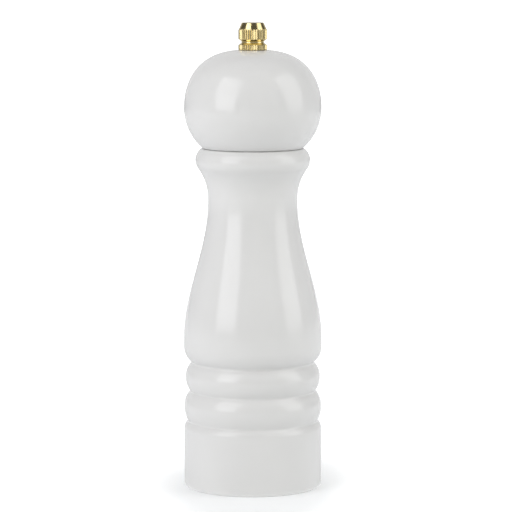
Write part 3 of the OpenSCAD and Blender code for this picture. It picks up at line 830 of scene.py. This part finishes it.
def burr_cut(a, z, low, high, coarse):
    """How deep the teeth are cut: many fine ones below the bend and few coarse ones above."""
    fine_depth, fine_lean = 0.8, 0.11
    coarse_depth, coarse_lean = 1.25, 0.055
    blend_over, fade_over, top_share = 1.2, 0.8, 0.6
    bend = low + FINE_H
    fine = fine_depth * tooth(a, z - low, 2 * coarse, fine_lean)
    rough = coarse_depth * tooth(a, z - low, coarse, coarse_lean)
    blend = max(0.0, min(1.0, (z - bend + blend_over / 2) / blend_over))
    fade = min(1.0, (high - z) / fade_over + top_share)
    return (fine * (1 - blend) + rough * blend) * fade


def rotor():
    """A cone toothed on its outside, round the hub."""
    step, low_edge = 0.3, 0.35

    def outer(a, z):
        crest = ROTOR_R - ROTOR_SLOPE * (z - ROTOR_LOW_Z)
        deep = burr_cut(a, z, ROTOR_LOW_Z, ROTOR_TOP_Z, ROTOR_TEETH)
        return max(HUB_R + 0.1, crest - deep)

    profile = [(HUB_R, ROTOR_LOW_Z), (lambda a, z: outer(a, z) - low_edge, ROTOR_LOW_Z)]
    profile += [(outer, z) for z in levels(ROTOR_LOW_Z + step, ROTOR_TOP_Z, step)]
    profile.append((HUB_R, ROTOR_TOP_Z))
    piece = loft("toothed_rotor", profile, 480, crisp=35)
    dress(piece, "drive", "rotor_burr", "ceramic", CERAMIC)


def stator():
    """A ring toothed on its inside, narrowest where the coarse teeth meet the fine ones."""
    step, low_edge, least_wall = 0.3, 0.3, 0.9
    bend = STATOR_LOW_Z + FINE_H

    def inner(a, z):
        if z < bend:
            crest = STATOR_LOW_R - ROTOR_SLOPE * (z - STATOR_LOW_Z)
        else:
            share = (z - bend) / (STATOR_HIGH_Z - bend)
            crest = STATOR_WAIST_R + (STATOR_MOUTH_R - STATOR_WAIST_R) * share
        deep = burr_cut(-a, z, STATOR_LOW_Z, STATOR_HIGH_Z, STATOR_TEETH)
        return min(STATOR_R - least_wall, crest + deep)

    profile = [
        (STATOR_R, STATOR_HIGH_Z), (STATOR_R, STATOR_LOW_Z + low_edge),
        (STATOR_R - low_edge, STATOR_LOW_Z),
    ]
    profile += [(inner, z) for z in levels(STATOR_LOW_Z, STATOR_HIGH_Z, step)]
    piece = loft("toothed_stator", profile, 640, crisp=35)
    dress(piece, "base", "stator_burr", "ceramic", CERAMIC)


def retainer():
    """The ring that holds the stator up."""
    outline = soften([
        (RETAINER_HOLE_R, RETAINER_LOW_Z), (RETAINER_R, RETAINER_LOW_Z),
        (RETAINER_R, STATOR_LOW_Z), (RETAINER_HOLE_R, STATOR_LOW_Z),
    ], 0.2)
    piece = loft("stator_ring", outline, 120)
    dress(piece, "base", "stator_retainer", "black_nylon", BLACK)


def hub():
    """The rotor's moulded core, with a flange under the cone and a square hole."""
    ease, mouth_r = 0.2, 4.8
    hole = square(SHAFT_W / 2 + HUB_FIT)
    profile = soften([
        (mouth_r, HUB_LOW_Z), (HUB_FLANGE_R, HUB_LOW_Z), (HUB_FLANGE_R, ROTOR_LOW_Z),
        (HUB_R, ROTOR_LOW_Z), (HUB_R, SPRING_LOW_Z), (mouth_r, SPRING_LOW_Z),
    ], ease, closed=False)
    profile += [(hole, SPRING_LOW_Z - ease), (hole, HUB_LOW_Z + ease)]
    dress(loft("rotor_core", profile, 128), "drive", "rotor_hub", "black_nylon", BLACK)


def lock_nut():
    """A hexagon with its corners chamfered, top and bottom."""
    half, bore, ease = NUT_W / 2, NUT_THREAD_R, 0.35
    low, high = NUT_LOW_Z, NUT_LOW_Z + NUT_H
    chamfer_start, chamfer_slope = 0.12, 1.7

    def outer(a, z):
        face = (a % (TAU / 6)) - TAU / 12
        chamfer = half + chamfer_start + chamfer_slope * min(z - low, high - z)
        return min(half / math.cos(face), chamfer)

    steps = [0, 0.08, 0.16, 0.24, 0.32, NUT_H / 2]
    heights = [low + s for s in steps] + [high - s for s in reversed(steps[:-1])]
    profile = [(bore + ease, low)] + [(outer, z) for z in heights]
    profile += [(bore + ease, high), (bore, high - ease), (bore, low + ease)]
    piece = loft("hexagon_lock_nut", profile, 144)
    dress(piece, "drive", "rotor_lock_nut", "steel", STEEL)


turned_body()
turned_head()
ferrule()
knurled_knob()
square_shaft()
drive_plate()
screw_pair("drive_plate_wood_screws", PLATE_SCREW_R, PLATE_SCREW_L + SCREW_HEAD_H, PLATE_SCREW_X,
           PLATE_LOW_Z - SCREW_HEAD_H, 40, "top", "drive_plate_screws")
screw_pair("housing_wood_screws", HOUSING_SCREW_R, HOUSING_SCREW_L, HOUSING_SCREW_X,
           HOUSING_LOW_Z, 25, "base", "housing_screws")
bridge()
shaft_bush()
washer("spring_seat_washer", SPRING_HIGH_Z, BUSH_LOW_Z, CORNER_R + 0.1,
       BUSH_FLANGE_R - SPRING_WASHER_INSET, "guide", "spring_washer")
washer("rotor_seat_washer", WASHER_LOW_Z, HUB_LOW_Z, NUT_THREAD_R, WASHER_R,
       "drive", "rotor_washer")
spring()
grinder_housing()
rotor()
stator()
retainer()
hub()
lock_nut()

# ---- Floor, light and camera, in metres ------------------------------------------------------

FLOOR_SIZE = 30.0
FLOOR_COLOR = (0.79, 0.8, 0.808)
# how strongly the camera sees the floor glow, by the distance from the mill: weaker near it,
# which paints a shadow round the foot
FLOOR_GLOW = [(0.028, 0.165), (0.052, 0.4), (0.15, 0.4), (0.7, 1.0)]
# how strongly the floor glows for all rays but the camera's, by the same distance: a painted glow
# that lights the mill's foot from below
FLOOR_LIFT = [(0.03, 0.34), (0.033, 0.03), (0.3, 0.03), (0.7, 0.0)]
# the painted shadow at the mill's foot is this much longer towards the camera than it is wide
PAINTED_SHADOW_STRETCH = 2.5
# the point on the mill that the lamps face
LAMPS_AIM = (0, 0, 0.11)
WHITE, COOL, YELLOW = (1, 1, 1), (0.98, 0.975, 1.0), (1.0, 1.0, 0.6)
# name, azimuth, elevation, distance, width, height, radiance, tint, and whether it is mirrored
LAMPS = [
    ("softbox_left", -47, 27, 1.25, 0.85, 1.25, 2.24, COOL, True),
    ("core_left", -47, 13, 1.24, 0.7, 0.42, 0.45, COOL, True),
    ("softbox_right", 75, 26, 1.25, 0.8, 1.3, 1.68, WHITE, True),
    ("core_right", 75, 13, 1.24, 0.65, 0.42, 0.36, WHITE, True),
    ("fill_left", -100, 15, 1.6, 1.6, 1.6, 0.58, WHITE, False),
    ("fill_right", 110, 15, 1.6, 1.6, 1.6, 0.59, WHITE, False),
    ("fill_front", 0, 15, 1.8, 1.2, 1.2, 0.42, YELLOW, False),
    ("fill_back", 180, 20, 1.6, 1.6, 1.6, 1.32, WHITE, False),
    ("fill_top", 0, 86, 1.6, 1.6, 1.6, 0.29, WHITE, False),
]


def studio_floor():
    """A pale floor, white further out, whose glow adds painted shade to the foot's real shadow.
    """
    mesh = bpy.data.meshes.new("studio_floor")
    half = FLOOR_SIZE / 2
    mesh.from_pydata([(-half, -half, 0), (half, -half, 0), (half, half, 0), (-half, half, 0)], [],
                     [(0, 1, 2, 3)])
    floor = bpy.data.objects.new("studio_floor", mesh)
    bpy.context.scene.collection.objects.link(floor)
    s = Surface("studio_floor", FLOOR_COLOR, 1.0)
    s.set("Specular IOR Level", 0.0)
    s.set("Emission Color", (1, 1, 1, 1))

    def by_distance(stops, stretch):
        """A grey that follows the distance from the mill: stops are (distance, level)."""
        reach = stops[-1][0]
        squeeze = s.node("ShaderNodeVectorMath", operation="DIVIDE")
        squeeze.inputs[1].default_value = (reach, reach * stretch, 1)
        s.link(s.where, squeeze.inputs[0])
        away = s.node("ShaderNodeVectorMath", operation="LENGTH")
        s.link(squeeze.outputs["Vector"], away.inputs[0])
        ramp = s.node("ShaderNodeValToRGB")
        ramp.color_ramp.interpolation = "EASE"
        while len(ramp.color_ramp.elements) < len(stops):
            ramp.color_ramp.elements.new(0.5)
        for stop, (distance, level) in zip(ramp.color_ramp.elements, stops):
            stop.position = distance / reach
            stop.color = (level, level, level, 1)
        s.link(away.outputs["Value"], ramp.inputs["Fac"])
        return ramp.outputs["Color"]

    rays = s.node("ShaderNodeLightPath")
    glow = s.node("ShaderNodeMix")
    s.link(rays.outputs["Is Camera Ray"], glow.inputs["Factor"])
    # for all other rays the floor glows near the foot like a lamp, lighting the mill from below
    s.link(by_distance(FLOOR_LIFT, 1), glow.inputs["A"])
    # for the camera the glow is weaker near the foot: a painted shadow over the real one
    s.link(by_distance(FLOOR_GLOW, PAINTED_SHADOW_STRETCH), glow.inputs["B"])
    s.link(glow.outputs["Result"], s.shader.inputs["Emission Strength"])
    mesh.materials.append(s.material)


def studio_world(ambient, dark, backdrop):
    """Even light on matt surfaces, white for the camera, and for what is polished to reflect a
    pale backdrop behind the mill and a darker room in front."""
    world = bpy.data.worlds.new("studio")
    bpy.context.scene.world = world
    world.use_nodes = True
    sky = Nodes(world.node_tree)
    background = sky.tree.nodes["Background"]
    background.inputs["Color"].default_value = (1, 1, 1, 1)
    rays = sky.node("ShaderNodeLightPath")
    place = sky.node("ShaderNodeTexCoord")
    split = sky.node("ShaderNodeSeparateXYZ")
    sky.link(place.outputs["Generated"], split.inputs["Vector"])
    behind = sky.spread(split.outputs["Y"], dark, backdrop, 0.55, 0.9)

    def blend(factor, first, second):
        mix = sky.node("ShaderNodeMix")
        sky.link(factor, mix.inputs["Factor"])
        for socket, value in (("A", first), ("B", second)):
            if isinstance(value, float):
                mix.inputs[socket].default_value = value
            else:
                sky.link(value, mix.inputs[socket])
        return mix.outputs["Result"]

    shiny = sky.node("ShaderNodeMath", operation="MAXIMUM")
    sky.link(rays.outputs["Is Glossy Ray"], shiny.inputs[0])
    sky.link(rays.outputs["Is Transmission Ray"], shiny.inputs[1])
    level = blend(shiny.outputs["Value"], ambient, behind)
    level = blend(rays.outputs["Is Camera Ray"], level, 1.0)
    sky.link(level, background.inputs["Strength"])


def softbox(name, azimuth, elevation, distance, width, height, radiance, tint, mirrored):
    """A soft rectangular lamp aimed at the mill. Azimuth 0 is in front, and positive is right.
    One that isn't mirrored lights the mill without a reflection of its own."""
    lamp = bpy.data.lights.new(name, "AREA")
    lamp.shape = "RECTANGLE"
    lamp.size, lamp.size_y = width, height
    lamp.energy = radiance * math.pi * width * height
    lamp.color = tint
    rig = bpy.data.objects.new(name, lamp)
    rig.visible_glossy = mirrored
    a, e = math.radians(azimuth), math.radians(elevation)
    towards = Vector((math.sin(a) * math.cos(e), -math.cos(a) * math.cos(e), math.sin(e)))
    rig.location = Vector(LAMPS_AIM) + towards * distance
    rig.rotation_euler = towards.to_track_quat("Z", "Y").to_euler()
    bpy.context.scene.collection.objects.link(rig)


def camera():
    """The photograph's view, from 1.3 m away and a little above the mill."""
    distance, height, tilt, axis_offset = 1.325, 0.2476, 6.317, 0.0014
    focal_px, frame_px = 3070.0, 512.0
    lens = bpy.data.cameras.new("camera")
    lens.sensor_width = 36.0
    lens.lens = lens.sensor_width * focal_px / frame_px
    lens.clip_start, lens.clip_end = 0.05, 100
    view = bpy.data.objects.new("camera", lens)
    view.location = (axis_offset, -distance, height)
    view.rotation_euler = (math.radians(90 - tilt), 0, 0)
    bpy.context.scene.collection.objects.link(view)
    bpy.context.scene.camera = view


studio_floor()
studio_world(ambient=0.42, dark=0.1, backdrop=0.66)
for lamp_row in LAMPS:
    softbox(*lamp_row)
camera()
bpy.context.scene.view_settings.view_transform = "Standard"
